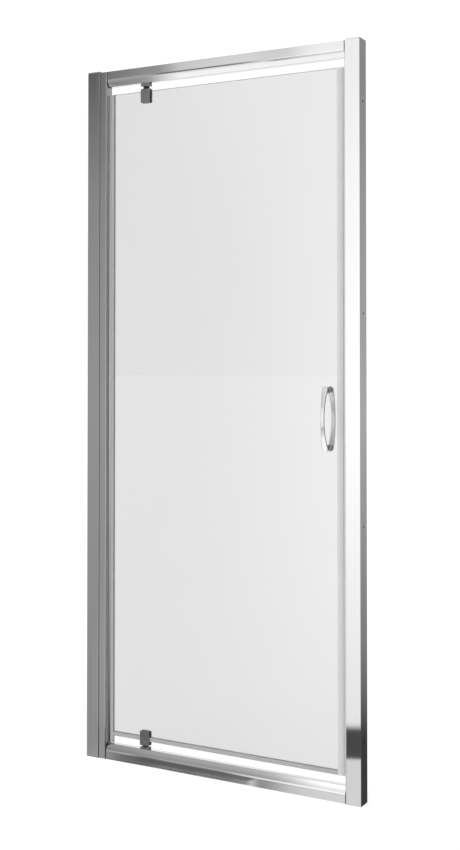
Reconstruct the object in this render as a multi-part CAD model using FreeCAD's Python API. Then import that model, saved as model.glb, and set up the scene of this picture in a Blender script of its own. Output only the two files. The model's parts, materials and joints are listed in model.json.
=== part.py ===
import FreeCAD, Part
import math
import os

# A framed pivot shower door for an alcove, closed, in millimetres.
# Frame of the model: origin on the floor, midway between the two walls and on the mid-plane of
# the glass. X runs along the opening, from the hinge side to the closing side, Y runs from the
# bathroom into the shower, and Z is up.

Vector = FreeCAD.Vector

# ---- Overall size: wall to wall, and floor to the top of the channel caps
door_width = 800.0
door_height = 1850.0

# ---- Wall channels: a U-section screwed to each wall
channel_depth = 40.0
channel_reach = 38.0
channel_leg = 1.6
channel_web = 2.0
channel_corner = 0.6
channel_lip_corner = 0.6
wall_hole_diameter = 5.5
wall_hole_end = 150.0
wall_hole_count = 4

# ---- Caps that close the top ends of the wall channels
cap_thickness = 3.0
cap_corner = 2.0
cap_edge = 0.8
cap_spigot_offset = 6.0
cap_spigot_length = 12.0
cap_spigot_depth = 10.0
cap_spigot_gap = 1.4

# ---- Jambs: a stepped section, open to the wall, whose legs slide in the wall channel
jamb_width = 38.0
jamb_nose = 16.0
jamb_reveal = 26.0
jamb_wall = 1.6
jamb_corner = 2.0
jamb_back_corner = 0.8
slide_gap = 0.4
exposed_hinge_side = 22.0
exposed_closing_side = 3.5

# ---- Screws that lock each jamb in its channel, driven from inside the shower
lock_screw_diameter = 3.5
lock_screw_length = 9.5
lock_screw_end = 200.0
lock_screw_count = 3
lock_head_diameter = 6.6
lock_head_height = 2.0
lock_cap_diameter = 12.0
lock_cap_height = 4.0
lock_cap_wall = 1.0

# ---- Header and sill: the same hollow section, one the other way up
rail_height = 40.0
rail_setback = 11.0
rail_nose_height = 14.0
rail_nose_radius = 14.0
rail_foot_corner = 1.5
rail_back_corner = 0.8
rail_wall = 1.6
rail_foot_wall = 2.6
rail_gasket_hinge_side = 2.4
rail_gasket_closing_side = 0.8
rail_gasket_band = 3.0

# ---- Screws through the jambs into the screw ports of the rails
port_inset = 5.5
port_merge = 0.2
corner_screw_diameter = 4.0
corner_screw_length = 22.0
corner_head_across = 6.0
corner_head_height = 2.4

# ---- Glass leaf
glass_thickness = 6.0
glass_corner = 3.0
glass_arris = 0.5
gap_above_glass = 21.5
gap_below_glass = 22.5
gap_hinge_edge = 8.0
gap_closing_edge = 16.5

# ---- Pivots: blocks on the rails, cup bushes, pins, and clamps on the glass
pivot_inset = 116.0
block_width = 27.0
block_depth = 15.0
block_height_top = 9.0
block_height_bottom = 6.0
block_corner = 2.0
block_edge = 1.0
block_floor = 1.5
block_screw_diameter = 3.5
block_screw_bite = 2.5
block_head_diameter = 5.4
block_head_height = 1.7
block_screw_x = 8.8
block_screw_y = 4.2
bush_diameter = 11.0
bush_collar_diameter = 16.5
bush_floor = 1.0
pin_diameter = 8.0
pin_chamfer = 0.8

clamp_width = 29.5
clamp_height = 38.0
clamp_thickness = 13.5
clamp_corner = 3.0
clamp_edge = 0.8
clamp_foot_top = 6.5
clamp_foot_bottom = 13.0
clamp_gasket = 0.8
clamp_gasket_margin = 1.0
clamp_boss_diameter = 12.0
clamp_hole_diameter = 16.0
clamp_sleeve_wall = 1.6
clamp_screw_diameter = 5.0
clamp_head_diameter = 8.6
clamp_head_height = 2.2
clamp_screw_tip = 1.0

# ---- Handle: two bows back to back through the glass
handle_length = 160.0
post_end_distance = 9.5
handle_inset = 36.0
handle_end_stand = 12.5
handle_mid_stand = 32.5
handle_thickness = 4.5
handle_end_width = 15.0
handle_mid_width = 10.5
handle_edge = 1.2
post_diameter = 13.0
stud_diameter = 6.0
stud_stop = 2.0
handle_washer_diameter = 16.0
handle_washer = 1.0
handle_hole_diameter = 10.0
handle_sleeve_wall = 1.6

# ---- Seals on the leaf and the magnetic strike
seal_fit = 0.15
seal_wall = 1.2
hinge_seal_reach = 6.3
hinge_seal_lip = 3.6
hinge_seal_lip_wall = 0.9
hinge_seal_lip_root = 2.2
hinge_seal_sill_gap = 1.0
drip_seal_reach = 9.5
drip_seal_bead = 1.0
seal_end_gap = 0.3
closing_seal_reach = 9.5
magnet_width = 4.8
magnet_wall = 0.9
magnet_half_depth = 3.3
magnet_fit = 0.1
strike_gap = 0.35
strike_base = 1.5
strike_base_front = 6.5
strike_base_back = 7.8
strike_stop_length = 12.5
strike_stop_wall = 1.2
strike_stop_corner = 0.4
strike_stop_gap = 0.8

# ---- Fits
thread_fit = 0.05
press_fit = 0.03
screw_fit = 0.3
running_fit = 0.05
running_gap = 0.3

# ---- Places worked out from the sizes above
half_width = door_width / 2
channel_top = door_height - cap_thickness
channel_half = channel_depth / 2
channel_inner = channel_half - channel_leg
jamb_front = -(channel_inner - slide_gap)
jamb_rear = channel_inner - slide_gap
reveal_back = jamb_front + jamb_reveal

hinge_face_reach = channel_reach + exposed_hinge_side
closing_face_reach = channel_reach + exposed_closing_side
hinge_face = -half_width + hinge_face_reach
closing_face = half_width - closing_face_reach

header_foot = channel_top - rail_height
sill_foot = rail_height

glass_left = hinge_face + gap_hinge_edge
glass_right = closing_face - gap_closing_edge
glass_bottom = sill_foot + gap_below_glass
glass_top = header_foot - gap_above_glass
glass_half = glass_thickness / 2

pivot_x = hinge_face + pivot_inset
clamp_half = clamp_thickness / 2
clamp_face = glass_half + clamp_gasket

handle_x = glass_right - handle_inset
handle_z = channel_top / 2
handle_pitch = handle_length - 2 * post_end_distance


# ---- Geometry helpers

def arc_at_corner(corner, before, after, radius):
    """Start, middle and end of the arc that rounds the corner between two straight sides."""
    back = (before - corner).normalize()
    ahead = (after - corner).normalize()
    half_angle = back.getAngle(ahead) / 2
    bisector = (back + ahead).normalize()
    reach = radius / math.tan(half_angle)
    start = corner + back * reach
    end = corner + ahead * reach
    middle = corner + bisector * (radius / math.sin(half_angle) - radius)
    return start, middle, end


def outline(points):
    """Closed wire through points; a point is a Vector, or a Vector and its corner radius."""
    corners = [point if isinstance(point, tuple) else (point, 0.0) for point in points]
    edges = []
    first = None
    last = None
    for index, (corner, radius) in enumerate(corners):
        before = corners[index - 1][0]
        after = corners[(index + 1) % len(corners)][0]
        start, end = corner, corner
        arc = None
        if radius > 0:
            start, middle, end = arc_at_corner(corner, before, after, radius)
            arc = Part.Arc(start, middle, end).toShape()
        if last is None:
            first = start
        else:
            edges.append(Part.LineSegment(last, start).toShape())
        if arc is not None:
            edges.append(arc)
        last = end
    edges.append(Part.LineSegment(last, first).toShape())
    return Part.Wire(edges)


def prism(points, travel):
    """Solid made by moving a closed outline along a vector."""
    return Part.Face(outline(points)).extrude(travel)


def box(x_span, y_span, z_span):
    """Block between two values along each axis."""
    size = [span[1] - span[0] for span in (x_span, y_span, z_span)]
    return Part.makeBox(size[0], size[1], size[2], Vector(x_span[0], y_span[0], z_span[0]))


def rod(diameter, start, travel):
    """Round bar from a start point along a vector."""
    return Part.makeCylinder(diameter / 2, travel.Length, start, travel)


def cone(start_diameter, end_diameter, start, travel):
    """Round taper from a start point along a vector."""
    return Part.makeCone(start_diameter / 2, end_diameter / 2, travel.Length, start, travel)


def mirrored_x(shape):
    """The same shape for the closing side."""
    return shape.mirror(Vector(0, 0, 0), Vector(1, 0, 0))


def mirrored_y(shape):
    """The same shape for the shower side of the glass."""
    return shape.mirror(Vector(0, 0, 0), Vector(0, 1, 0))


def edges_where(shape, test):
    """Edges whose every end point passes the test."""
    return [edge for edge in shape.Edges if all(test(vertex.Point) for vertex in edge.Vertexes)]


def near(value, target):
    """Whether two lengths are the same."""
    return abs(value - target) < 1e-4


def chamfer_both_faces(plate, half, size):
    """Chamfer the edges all round the two faces of a plate that lie half in front and behind."""
    front = edges_where(plate, lambda point: near(point.y, -half))
    back = edges_where(plate, lambda point: near(point.y, half))
    return plate.makeChamfer(size, front + back)


def even_heights(end_distance, count):
    """Heights spread evenly between two ends that lie end_distance from floor and channel top."""
    pitch = (channel_top - 2 * end_distance) / (count - 1)
    return [end_distance + pitch * index for index in range(count)]


def save(name, *solids):
    """Write one sub-part, or a group of equal pieces, to its own file."""
    shape = solids[0] if len(solids) == 1 else Part.makeCompound(list(solids))
    shape.exportStep("parts/" + name + ".step")


# ---- Frame: wall channels and their caps, drawn for the hinge side

def wall_x(reach):
    """X of a point that lies a distance from the hinge-side wall."""
    return -half_width + reach


def lock_screw_x(face_reach):
    """X of the locking screws: midway along the overlap of channel leg and jamb leg."""
    leg_start = face_reach - jamb_width
    leg_end = min(channel_reach, face_reach - jamb_nose)
    return wall_x((leg_start + leg_end) / 2)


def make_wall_channel(face_reach):
    outer = wall_x(0)
    lip = wall_x(channel_reach)
    web = wall_x(channel_web)
    points = [
        (Vector(outer, -channel_half, 0), channel_corner),
        (Vector(lip, -channel_half, 0), channel_lip_corner),
        Vector(lip, -channel_inner, 0),
        Vector(web, -channel_inner, 0),
        Vector(web, channel_inner, 0),
        Vector(lip, channel_inner, 0),
        (Vector(lip, channel_half, 0), channel_lip_corner),
        (Vector(outer, channel_half, 0), channel_corner),
    ]
    channel = prism(points, Vector(0, 0, channel_top))
    for height in even_heights(wall_hole_end, wall_hole_count):
        hole = rod(wall_hole_diameter, Vector(outer - 1, 0, height), Vector(channel_web + 2, 0, 0))
        channel = channel.cut(hole)
    for height in even_heights(lock_screw_end, lock_screw_count):
        start = Vector(lock_screw_x(face_reach), channel_inner - 1, height)
        hole = rod(lock_screw_diameter + 2 * thread_fit, start, Vector(0, channel_leg + 2, 0))
        channel = channel.cut(hole)
    return channel


def make_channel_cap():
    outer = wall_x(0)
    lip = wall_x(channel_reach)
    points = [
        (Vector(outer, -channel_half, channel_top), cap_corner),
        (Vector(lip, -channel_half, channel_top), cap_corner),
        (Vector(lip, channel_half, channel_top), cap_corner),
        (Vector(outer, channel_half, channel_top), cap_corner),
    ]
    plate = prism(points, Vector(0, 0, cap_thickness))
    rim = edges_where(plate, lambda point: near(point.z, door_height))
    plate = plate.makeChamfer(cap_edge, rim)
    spigot_start = wall_x(cap_spigot_offset)
    spigot_half = jamb_rear - jamb_wall - cap_spigot_gap
    spigot = box(
        (spigot_start, spigot_start + cap_spigot_length),
        (-spigot_half, spigot_half),
        (channel_top - cap_spigot_depth, channel_top),
    )
    return plate.fuse(spigot).removeSplitter()


# ---- Frame: jambs

def port_places(foot, up):
    """Y and Z of the two screw ports of a rail whose foot face lies at a height."""
    front_port = (jamb_front + port_inset, foot + up * (rail_height - port_inset))
    rear_port = (reveal_back - port_inset, foot + up * port_inset)
    return [front_port, rear_port]


def all_port_places():
    return port_places(header_foot, 1) + port_places(sill_foot, -1)


def make_jamb(face_reach):
    face = wall_x(face_reach)
    leg_end = wall_x(face_reach - jamb_width)
    step = wall_x(face_reach - jamb_nose)
    points = [
        Vector(leg_end, jamb_front, 0),
        (Vector(face, jamb_front, 0), jamb_corner),
        (Vector(face, reveal_back, 0), jamb_back_corner),
        Vector(step, reveal_back, 0),
        Vector(step, jamb_rear, 0),
        Vector(leg_end, jamb_rear, 0),
        Vector(leg_end, jamb_rear - jamb_wall, 0),
        Vector(step - jamb_wall, jamb_rear - jamb_wall, 0),
        Vector(step - jamb_wall, reveal_back - jamb_wall, 0),
        Vector(face - jamb_wall, reveal_back - jamb_wall, 0),
        Vector(face - jamb_wall, jamb_front + jamb_wall, 0),
        Vector(leg_end, jamb_front + jamb_wall, 0),
    ]
    jamb = prism(points, Vector(0, 0, channel_top))
    for y, z in all_port_places():
        start = Vector(face - jamb_wall - 1, y, z)
        hole = rod(corner_screw_diameter + screw_fit, start, Vector(jamb_wall + 2, 0, 0))
        jamb = jamb.cut(hole)
    for height in even_heights(lock_screw_end, lock_screw_count):
        start = Vector(lock_screw_x(face_reach), jamb_rear - jamb_wall - 1, height)
        hole = rod(lock_screw_diameter + 2 * thread_fit, start, Vector(0, jamb_wall + 2, 0))
        jamb = jamb.cut(hole)
    return jamb


def make_lock_screw(x, z):
    seat = Vector(x, channel_half, z)
    head = rod(lock_head_diameter, seat, Vector(0, lock_head_height, 0))
    return head.fuse(rod(lock_screw_diameter, seat, Vector(0, -lock_screw_length, 0)))


def make_lock_cap(x, z):
    seat = Vector(x, channel_half, z)
    hollow_diameter = lock_cap_diameter - 2 * lock_cap_wall
    hollow = rod(hollow_diameter, seat, Vector(0, lock_cap_height - lock_cap_wall, 0))
    return rod(lock_cap_diameter, seat, Vector(0, lock_cap_height, 0)).cut(hollow)


# ---- Frame: header and sill

def rail_section(x, foot, up, inset):
    """Outline of a rail at one X; up is 1 for the header and -1 for the sill."""
    front = jamb_front
    back = reveal_back
    outer = foot + up * rail_height
    nose = foot + up * rail_nose_height
    section = Part.Face(outline([
        (Vector(x, front, outer), rail_back_corner),
        (Vector(x, front, nose), rail_nose_radius),
        (Vector(x, front + rail_setback, foot), rail_foot_corner),
        (Vector(x, back, foot), rail_back_corner),
        (Vector(x, back, outer), rail_back_corner),
    ]))
    if inset > 0:
        section = section.makeOffset2D(-inset)
    return section


def make_rail(foot, up):
    start = hinge_face + rail_gasket_hinge_side
    length = closing_face - rail_gasket_closing_side - start
    travel = Vector(length, 0, 0)
    rail = rail_section(start, foot, up, 0).extrude(travel)
    hollow = rail_section(start, foot, up, rail_wall).extrude(travel)
    foot_span = sorted((foot, foot + up * rail_foot_wall))
    hollow = hollow.cut(box((start, start + length), (jamb_front, reveal_back), foot_span))
    port_radius = port_inset - rail_wall + port_merge
    for y, z in port_places(foot, up):
        hollow = hollow.cut(rod(2 * port_radius, Vector(start, y, z), travel))
    rail = rail.cut(hollow)
    for y, z in port_places(foot, up):
        bore = rod(corner_screw_diameter + 2 * thread_fit, Vector(start, y, z), travel)
        rail = rail.cut(bore)
    for x, y in block_screw_places():
        hole = rod(
            block_screw_diameter + 2 * thread_fit,
            Vector(x, y, foot - up),
            Vector(0, 0, up * (block_screw_bite + screw_fit + 1)),
        )
        rail = rail.cut(hole)
    return rail


def make_rail_gaskets():
    """Bands that follow the outline of the rails' ends, clear of the screw ports."""
    gaskets = []
    ends = (
        (hinge_face, rail_gasket_hinge_side),
        (closing_face - rail_gasket_closing_side, rail_gasket_closing_side),
    )
    for foot, up in ((header_foot, 1), (sill_foot, -1)):
        for x, thickness in ends:
            travel = Vector(thickness, 0, 0)
            sheet = rail_section(x, foot, up, 0).extrude(travel)
            middle = rail_section(x, foot, up, rail_gasket_band).extrude(travel)
            gaskets.append(sheet.cut(middle))
    return gaskets


def hexagon(x, y, z, across):
    """Face across the X axis with six equal sides."""
    radius = across / math.sqrt(3)
    angles = [math.radians(60 * side) for side in range(6)]
    points = [
        Vector(x, y + radius * math.cos(angle), z + radius * math.sin(angle))
        for angle in angles
    ]
    return Part.Face(outline(points))


def make_corner_screws():
    screws = []
    for y, z in all_port_places():
        for face, inward in ((hinge_face, 1), (closing_face, -1)):
            seat = Vector(face - inward * jamb_wall, y, z)
            shank = rod(corner_screw_diameter, seat, Vector(inward * corner_screw_length, 0, 0))
            head = hexagon(seat.x, y, z, corner_head_across)
            head = head.extrude(Vector(-inward * corner_head_height, 0, 0))
            screws.append(shank.fuse(head))
    return screws


# ---- Pivots on the rails

def block_height(up):
    """Height of the block under the header, where up is 1, or on the sill, where it is -1."""
    return block_height_top if up > 0 else block_height_bottom


def block_screw_places():
    """X and Y of the two screws of a pivot block, one on each side of the bush."""
    return [
        (pivot_x - block_screw_x, block_screw_y),
        (pivot_x + block_screw_x, -block_screw_y),
    ]


def make_pivot_block(foot, up):
    """Block on a rail foot; up is 1 under the header and -1 on the sill."""
    height = block_height(up)
    face = foot - up * height
    half_x = block_width / 2
    half_y = block_depth / 2
    points = [
        (Vector(pivot_x - half_x, -half_y, foot), block_corner),
        (Vector(pivot_x + half_x, -half_y, foot), block_corner),
        (Vector(pivot_x + half_x, half_y, foot), block_corner),
        (Vector(pivot_x - half_x, half_y, foot), block_corner),
    ]
    block = prism(points, Vector(0, 0, face - foot))
    rim = edges_where(block, lambda point: near(point.z, face))
    block = block.makeChamfer(block_edge, rim)
    seat_depth = height - block_floor
    seat = rod(
        bush_diameter + 2 * press_fit,
        Vector(pivot_x, 0, face),
        Vector(0, 0, up * seat_depth),
    )
    block = block.cut(seat)
    for x, y in block_screw_places():
        through = rod(
            block_screw_diameter + screw_fit,
            Vector(x, y, face - up),
            Vector(0, 0, up * (height + 2)),
        )
        sink = cone(
            block_head_diameter + 2 * press_fit,
            block_screw_diameter + 2 * press_fit,
            Vector(x, y, face),
            Vector(0, 0, up * block_head_height),
        )
        block = block.cut(through).cut(sink)
    return block


def make_pivot_bush(foot, up, clamp_end):
    """Cup bush with a collar that reaches towards the clamp."""
    face = foot - up * block_height(up)
    cup_depth = block_height(up) - block_floor - press_fit
    cup = rod(bush_diameter, Vector(pivot_x, 0, face), Vector(0, 0, up * cup_depth))
    collar_height = abs(face - clamp_end) - running_gap
    collar = rod(
        bush_collar_diameter,
        Vector(pivot_x, 0, face),
        Vector(0, 0, -up * collar_height),
    )
    bore = rod(
        pin_diameter + 2 * running_fit,
        Vector(pivot_x, 0, face - up * (collar_height + 1)),
        Vector(0, 0, up * (collar_height + 1 + cup_depth - bush_floor)),
    )
    return cup.fuse(collar).removeSplitter().cut(bore)


def make_block_screws():
    screws = []
    for foot, up in ((header_foot, 1), (sill_foot, -1)):
        face = foot - up * block_height(up)
        length = block_height(up) + block_screw_bite
        for x, y in block_screw_places():
            seat = Vector(x, y, face)
            head = cone(
                block_head_diameter,
                block_screw_diameter,
                seat,
                Vector(0, 0, up * block_head_height),
            )
            shank = rod(block_screw_diameter, seat, Vector(0, 0, up * length))
            screws.append(head.fuse(shank).removeSplitter())
    return screws


# ---- Leaf: glass and pivot clamps

top_clamp = {"edge": glass_top, "end": glass_top + clamp_foot_top, "out": 1}
bottom_clamp = {"edge": glass_bottom, "end": glass_bottom - clamp_foot_bottom, "out": -1}


def clamp_far_end(clamp):
    """Height of the clamp's end that lies over the glass."""
    return clamp["end"] - clamp["out"] * clamp_height


def clamp_bolt_z(clamp):
    """Height of the clamp's bolt, midway along the part of the clamp that covers glass."""
    return (clamp["edge"] + clamp_far_end(clamp)) / 2


def make_glass():
    points = [
        (Vector(glass_left, -glass_half, glass_bottom), glass_corner),
        (Vector(glass_right, -glass_half, glass_bottom), glass_corner),
        (Vector(glass_right, -glass_half, glass_top), glass_corner),
        (Vector(glass_left, -glass_half, glass_top), glass_corner),
    ]
    glass = prism(points, Vector(0, glass_thickness, 0))
    glass = chamfer_both_faces(glass, glass_half, glass_arris)
    through = Vector(0, glass_thickness + 2, 0)
    for clamp in (top_clamp, bottom_clamp):
        start = Vector(pivot_x, -glass_half - 1, clamp_bolt_z(clamp))
        glass = glass.cut(rod(clamp_hole_diameter, start, through))
    for z in handle_heights():
        start = Vector(handle_x, -glass_half - 1, z)
        glass = glass.cut(rod(handle_hole_diameter, start, through))
    return glass


def make_clamp_block(clamp):
    """Outer shape that the body and the rear plate of a clamp share."""
    left = pivot_x - clamp_width / 2
    right = pivot_x + clamp_width / 2
    far_end = clamp_far_end(clamp)
    points = [
        (Vector(left, -clamp_half, clamp["end"]), clamp_corner),
        (Vector(right, -clamp_half, clamp["end"]), clamp_corner),
        (Vector(right, -clamp_half, far_end), clamp_corner),
        (Vector(left, -clamp_half, far_end), clamp_corner),
    ]
    block = prism(points, Vector(0, clamp_thickness, 0))
    return chamfer_both_faces(block, clamp_half, clamp_edge)


def make_clamp_body(clamp):
    """Front plate, the foot past the glass edge that holds the pin, and the boss in the glass."""
    out = clamp["out"]
    foot_face = clamp["edge"] + out * clamp_gasket
    slot = box(
        (pivot_x - clamp_width, pivot_x + clamp_width),
        (-clamp_face, clamp_half + 1),
        sorted((foot_face, clamp_far_end(clamp) - out)),
    )
    body = make_clamp_block(clamp).cut(slot)
    boss_start = Vector(pivot_x, -clamp_face - 1, clamp_bolt_z(clamp))
    body = body.fuse(rod(clamp_boss_diameter, boss_start, Vector(0, 2 * clamp_face + 1, 0)))
    thread = rod(
        clamp_screw_diameter + 2 * thread_fit,
        Vector(pivot_x, clamp_face + 1, clamp_bolt_z(clamp)),
        Vector(0, -(2 * clamp_face + 1), 0),
    )
    pin_hole = rod(
        pin_diameter + 2 * press_fit,
        Vector(pivot_x, 0, clamp["end"] + out),
        Vector(0, 0, foot_face - clamp["end"] - 2 * out),
    )
    return body.removeSplitter().cut(thread).cut(pin_hole)


def make_clamp_plate(clamp):
    """Rear plate, which the screw draws towards the front plate."""
    out = clamp["out"]
    plate_end = clamp["edge"] + out * (clamp_gasket - press_fit)
    keep = box(
        (pivot_x - clamp_width, pivot_x + clamp_width),
        (clamp_face, clamp_half + 1),
        sorted((plate_end, clamp_far_end(clamp) - out)),
    )
    plate = make_clamp_block(clamp).common(keep)
    outer = Vector(pivot_x, clamp_half, clamp_bolt_z(clamp))
    through = rod(clamp_screw_diameter + screw_fit, outer, Vector(0, -clamp_thickness, 0))
    sink = cone(
        clamp_head_diameter + 2 * press_fit,
        clamp_screw_diameter + 2 * press_fit,
        outer,
        Vector(0, -clamp_head_height, 0),
    )
    return plate.cut(through).cut(sink)


def make_clamp_screw(clamp):
    outer = Vector(pivot_x, clamp_half, clamp_bolt_z(clamp))
    length = clamp_half + clamp_face - clamp_screw_tip
    shank = rod(clamp_screw_diameter, outer, Vector(0, -length, 0))
    head = cone(
        clamp_head_diameter,
        clamp_screw_diameter,
        outer,
        Vector(0, -clamp_head_height, 0),
    )
    return head.fuse(shank).removeSplitter()


def make_clamp_gaskets(clamp):
    """Soft sheets between the glass and the two plates."""
    half = clamp_width / 2 - clamp_gasket_margin
    far_end = clamp_far_end(clamp) + clamp["out"] * clamp_gasket_margin
    z_span = sorted((clamp["edge"], far_end))
    sheet = box((pivot_x - half, pivot_x + half), (-clamp_face, -glass_half), z_span)
    hole = rod(
        clamp_hole_diameter,
        Vector(pivot_x, -clamp_face - 1, clamp_bolt_z(clamp)),
        Vector(0, clamp_gasket + 2, 0),
    )
    sheet = sheet.cut(hole)
    return [sheet, mirrored_y(sheet)]


def make_clamp_sleeve(clamp):
    """Ring that keeps the boss off the glass."""
    start = Vector(pivot_x, -glass_half, clamp_bolt_z(clamp))
    travel = Vector(0, glass_thickness, 0)
    ring = rod(clamp_boss_diameter + 2 * press_fit + 2 * clamp_sleeve_wall, start, travel)
    return ring.cut(rod(clamp_boss_diameter + 2 * press_fit, start, travel))


def make_pivot_pin(clamp, foot, up):
    """Pin from the clamp foot into the cup bush, with its tip chamfered."""
    start_z = clamp["edge"] + clamp["out"] * clamp_gasket
    bush_seat = foot - up * (block_floor + press_fit + bush_floor)
    end_z = bush_seat - up * running_gap
    pin = rod(pin_diameter, Vector(pivot_x, 0, start_z), Vector(0, 0, end_z - start_z))
    tip = edges_where(pin, lambda point: near(point.z, end_z))
    return pin.makeChamfer(pin_chamfer, tip)


# ---- Leaf: handle

def handle_heights():
    return [handle_z - handle_pitch / 2, handle_z + handle_pitch / 2]


def handle_radius():
    """Radius of the bow's outer face, from its length and how far its middle stands proud."""
    sagitta = handle_mid_stand - handle_end_stand
    half = handle_length / 2
    return (half * half + sagitta * sagitta) / (2 * sagitta)


def make_bow_side_view():
    """Side view of the bow, a flat bar bent to an arc, carried across the bow's full width."""
    half = handle_length / 2
    front = -(glass_half + handle_mid_stand)
    centre_y = front + handle_radius()
    inner_radius = handle_radius() - handle_thickness
    outer_end = centre_y - math.sqrt(handle_radius() ** 2 - half ** 2)
    inner_end = centre_y - math.sqrt(inner_radius ** 2 - half ** 2)

    def at(y, z):
        return Vector(handle_x - handle_end_width, y, handle_z + z)

    inner_front = front + handle_thickness
    edges = [
        Part.Arc(at(outer_end, -half), at(front, 0), at(outer_end, half)).toShape(),
        Part.LineSegment(at(outer_end, half), at(inner_end, half)).toShape(),
        Part.Arc(at(inner_end, half), at(inner_front, 0), at(inner_end, -half)).toShape(),
        Part.LineSegment(at(inner_end, -half), at(outer_end, -half)).toShape(),
    ]
    return Part.Face(Part.Wire(edges)).extrude(Vector(2 * handle_end_width, 0, 0))


def make_bow_front_view():
    """Front view of the bow: round ends that run smoothly into hollow sides."""
    end = handle_end_width / 2
    waist = handle_mid_width / 2
    tip = handle_length / 2
    centre = tip - end
    side_radius = (waist ** 2 + centre ** 2 - end ** 2) / (2 * (end - waist))
    joint_x = end * (waist + side_radius) / (side_radius + end)
    joint_z = centre - end * centre / (side_radius + end)
    y = -(glass_half + handle_mid_stand) - 1

    def at(x, z):
        return Vector(handle_x + x, y, handle_z + z)

    edges = [
        Part.Arc(at(-joint_x, joint_z), at(0, tip), at(joint_x, joint_z)).toShape(),
        Part.Arc(at(joint_x, joint_z), at(waist, 0), at(joint_x, -joint_z)).toShape(),
        Part.Arc(at(joint_x, -joint_z), at(0, -tip), at(-joint_x, -joint_z)).toShape(),
        Part.Arc(at(-joint_x, -joint_z), at(-waist, 0), at(-joint_x, joint_z)).toShape(),
    ]
    return Part.Face(Part.Wire(edges)).extrude(Vector(0, handle_mid_stand + 1, 0))


def make_handle_bow():
    bow = make_bow_side_view().common(make_bow_front_view())
    return bow.makeChamfer(handle_edge, bow.Edges)


def make_handle_posts():
    """Posts between the glass and the ends of the front bow, cut to the bow's inner curve."""
    posts = []
    stand = glass_half + handle_washer
    inner_radius = handle_radius() - handle_thickness
    centre_y = -(glass_half + handle_mid_stand) + handle_radius()
    start = Vector(handle_x - handle_end_width, centre_y, handle_z)
    behind_bow = rod(2 * inner_radius, start, Vector(2 * handle_end_width, 0, 0))
    for z in handle_heights():
        post = rod(post_diameter, Vector(handle_x, -stand, z), Vector(0, -handle_mid_stand, 0))
        post = post.common(behind_bow)
        bore = rod(
            stud_diameter + 2 * thread_fit,
            Vector(handle_x, -stand + 1, z),
            Vector(0, -(stud_reach() - stand + 1), 0),
        )
        posts.append(post.cut(bore))
    return posts


def stud_reach():
    """How far the stud reaches from the mid-plane of the glass."""
    return glass_half + handle_end_stand - handle_thickness - stud_stop


def make_handle_studs():
    reach = stud_reach()
    travel = Vector(0, 2 * reach, 0)
    return [rod(stud_diameter, Vector(handle_x, -reach, z), travel) for z in handle_heights()]


def ring_y(outer, inner, start_y, length, z):
    """Ring round a handle stud."""
    travel = Vector(0, length, 0)
    start = Vector(handle_x, start_y, z)
    return rod(outer, start, travel).cut(rod(inner, start, travel))


def make_handle_washers():
    washers = []
    for z in handle_heights():
        front = ring_y(
            handle_washer_diameter,
            stud_diameter + screw_fit,
            -glass_half - handle_washer,
            handle_washer,
            z,
        )
        washers.append(front)
        washers.append(mirrored_y(front))
    return washers


def make_handle_sleeves():
    inner = stud_diameter + screw_fit
    outer = inner + 2 * handle_sleeve_wall
    start_y = -glass_half
    return [ring_y(outer, inner, start_y, glass_thickness, z) for z in handle_heights()]


# ---- Leaf: seals

def seal_half():
    return glass_half + seal_fit + seal_wall


def make_hinge_seal():
    """Channel on the hinge edge of the glass with a hollow bulb towards the jamb."""
    web = glass_left - seal_fit - seal_wall
    leg_end = glass_left + hinge_seal_reach
    half = seal_half()
    bottom = sill_foot + hinge_seal_sill_gap
    tall = Vector(0, 0, glass_top - bottom)
    points = [
        Vector(web, -half, bottom),
        Vector(leg_end, -half, bottom),
        Vector(leg_end, -half + seal_wall, bottom),
        Vector(web + seal_wall, -half + seal_wall, bottom),
        Vector(web + seal_wall, half - seal_wall, bottom),
        Vector(leg_end, half - seal_wall, bottom),
        Vector(leg_end, half, bottom),
        Vector(web, half, bottom),
    ]
    channel = prism(points, tall)
    lip = []
    for wall in (0, hinge_seal_lip_wall):
        crown = web - hinge_seal_lip + wall
        root = hinge_seal_lip_root - wall
        start = Vector(web, -root, bottom)
        end = Vector(web, root, bottom)
        arc = Part.Arc(start, Vector(crown, 0, bottom), end)
        base = Part.LineSegment(end, start)
        lip.append(Part.Face(Part.Wire([arc.toShape(), base.toShape()])).extrude(tall))
    return channel.fuse(lip[0].cut(lip[1])).removeSplitter()


def make_drip_seal(start_x, end_x):
    """Channel on the lower edge of the glass with a rounded bead along its lower front."""
    web = glass_bottom - seal_fit - seal_wall
    leg_end = glass_bottom + drip_seal_reach
    half = seal_half()
    points = [
        (Vector(start_x, -half, web), drip_seal_bead),
        Vector(start_x, -half, leg_end),
        Vector(start_x, -half + seal_wall, leg_end),
        Vector(start_x, -half + seal_wall, web + seal_wall),
        Vector(start_x, half - seal_wall, web + seal_wall),
        Vector(start_x, half - seal_wall, leg_end),
        Vector(start_x, half, leg_end),
        (Vector(start_x, half, web), drip_seal_bead),
    ]
    return prism(points, Vector(end_x - start_x, 0, 0))


def make_drip_seals():
    """Two lengths, one on each side of the bottom clamp."""
    clamp_edge_left = pivot_x - clamp_width / 2 - seal_end_gap
    clamp_edge_right = pivot_x + clamp_width / 2 + seal_end_gap
    left_start = glass_left + hinge_seal_reach + seal_end_gap
    right_end = glass_right - closing_seal_reach - seal_end_gap
    return [
        make_drip_seal(left_start, clamp_edge_left),
        make_drip_seal(clamp_edge_right, right_end),
    ]


def closing_seal_faces():
    """X of the seal's web, its magnet and its outer face."""
    web = glass_right + seal_fit
    magnet = web + seal_wall + magnet_fit
    outer = magnet + magnet_width + magnet_fit + magnet_wall
    return web, magnet, outer


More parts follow.
